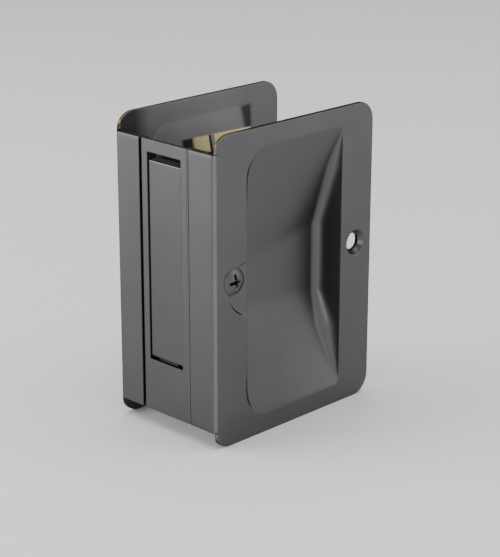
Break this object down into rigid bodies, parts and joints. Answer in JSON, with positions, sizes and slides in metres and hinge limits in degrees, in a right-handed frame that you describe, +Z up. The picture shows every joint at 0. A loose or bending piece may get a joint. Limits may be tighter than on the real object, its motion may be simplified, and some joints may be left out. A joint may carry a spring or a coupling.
{
  "type": "pocket door pull",
  "caption": "Adjustable pocket door pull: pressed finger cup plates fold over a sliding door's edge from both faces, and a slim pull swings out of a window in the edge.",
  "frame": {"origin": "middle of the box that holds the part, on the level of both plates' lower edges", "axes": "+X from the door's edge into the door, +Y from the front plate to the back plate, +Z up along the door's edge"},
  "size_m": [0.0588, 0.0378, 0.0825],
  "materials": {
    "plated_sheet": "satin dark grey plating over sheet brass",
    "plated_screw": "satin dark grey plating",
    "raw_brass": "bare brass, lightly dulled",
    "plain_steel": "bare drawn steel"
  },
  "bodies": {
    "frame": {"edge_frame": "plated_sheet", "cross_bar": "raw_brass", "stop_pin": "plain_steel", "pull_pin": "plain_steel", "front_spacer": "raw_brass", "back_spacer": "raw_brass", "spring_bar": "raw_brass", "leaf_spring": "plain_steel", "leaf_screw": "plain_steel"},
    "front_cup": {"front_plate": "plated_sheet"},
    "back_cup": {"back_plate": "plated_sheet"},
    "front_screw": {"front_plate_screw": "plated_screw"},
    "back_screw": {"back_plate_screw": "plated_screw"},
    "pull": {"edge_pull": "plated_sheet"}
  },
  "joints": [
    {"name": "front_cup_slide", "type": "slide", "parent": "frame", "child": "front_cup", "axis": [0, -1, 0], "range_m": [0, 0.005]},
    {"name": "back_cup_slide", "type": "slide", "parent": "frame", "child": "back_cup", "axis": [0, 1, 0], "range_m": [0, 0.005]},
    {"name": "front_screw_turn", "type": "hinge", "parent": "front_cup", "child": "front_screw", "pos_m": [-0.02245, -0.01795, 0.0443], "axis": [0, -1, 0], "range_deg": [0, 2268]},
    {"name": "back_screw_turn", "type": "hinge", "parent": "back_cup", "child": "back_screw", "pos_m": [-0.02245, 0.01795, 0.0443], "axis": [0, 1, 0], "range_deg": [0, 2268]},
    {"name": "pull_swing", "type": "hinge", "parent": "frame", "child": "pull", "pos_m": [-0.0256, -0.00015, 0.0232], "axis": [0, -1, 0], "range_deg": [0, 90]}
  ],
  "couplings": [
    {"joint": "front_screw_turn", "follows": "front_cup_slide", "rad_per_m": 7915.8},
    {"joint": "back_screw_turn", "follows": "back_cup_slide", "rad_per_m": 7915.8}
  ]
}
